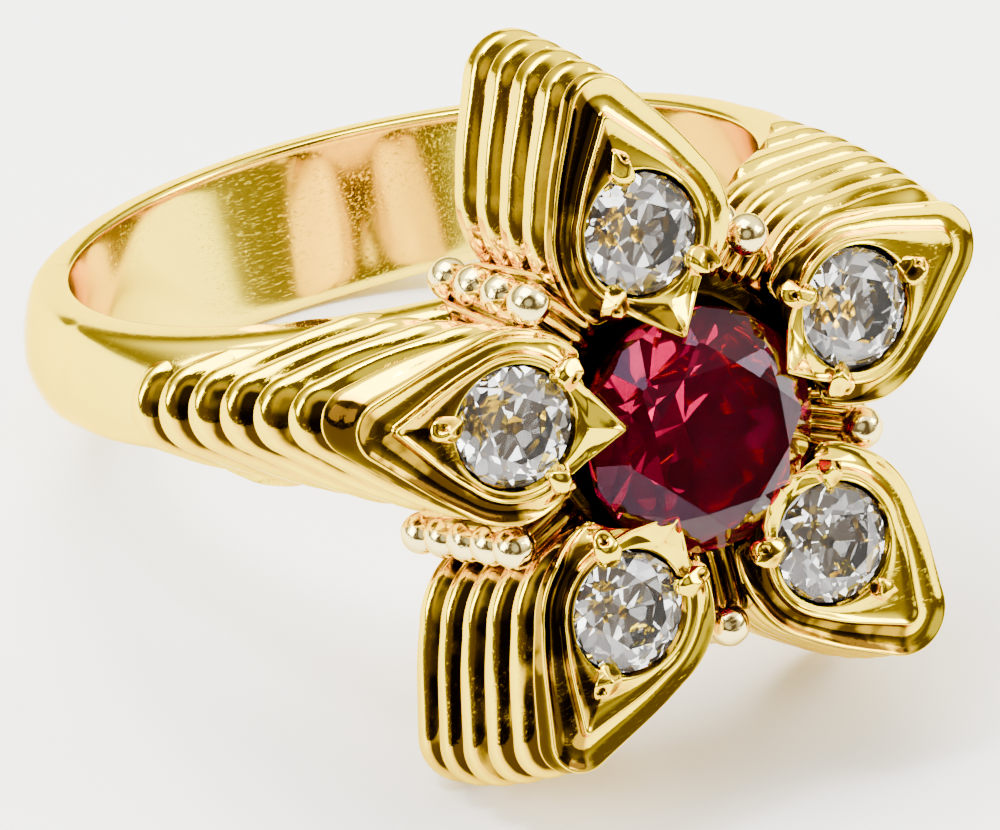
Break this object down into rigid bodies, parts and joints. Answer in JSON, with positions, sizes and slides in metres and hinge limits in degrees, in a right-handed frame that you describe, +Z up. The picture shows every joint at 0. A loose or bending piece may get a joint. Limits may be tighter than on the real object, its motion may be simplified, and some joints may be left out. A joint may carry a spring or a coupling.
{
  "type": "ring",
  "caption": "Gold finger ring with a star of ridged petals round a ruby, a diamond held in each petal and rows of round grains between them.",
  "frame": {"origin": "middle of the bounding box at floor level, with the ring lying on its side", "axes": "+Z up, -Y towards the star with its stones, +X to the right seen from the star; the finger's axis leans from +Z towards +Y"},
  "size_m": [0.0196, 0.0248, 0.0174],
  "materials": {
    "gold": "polished",
    "ruby": "polished",
    "diamond": "polished"
  },
  "bodies": {
    "root": {"ring_body": "gold", "ruby": "ruby", "diamond_top": "diamond", "diamond_upper_right": "diamond", "diamond_lower_right": "diamond", "diamond_lower_left": "diamond", "diamond_left": "diamond"}
  },
  "joints": []
}
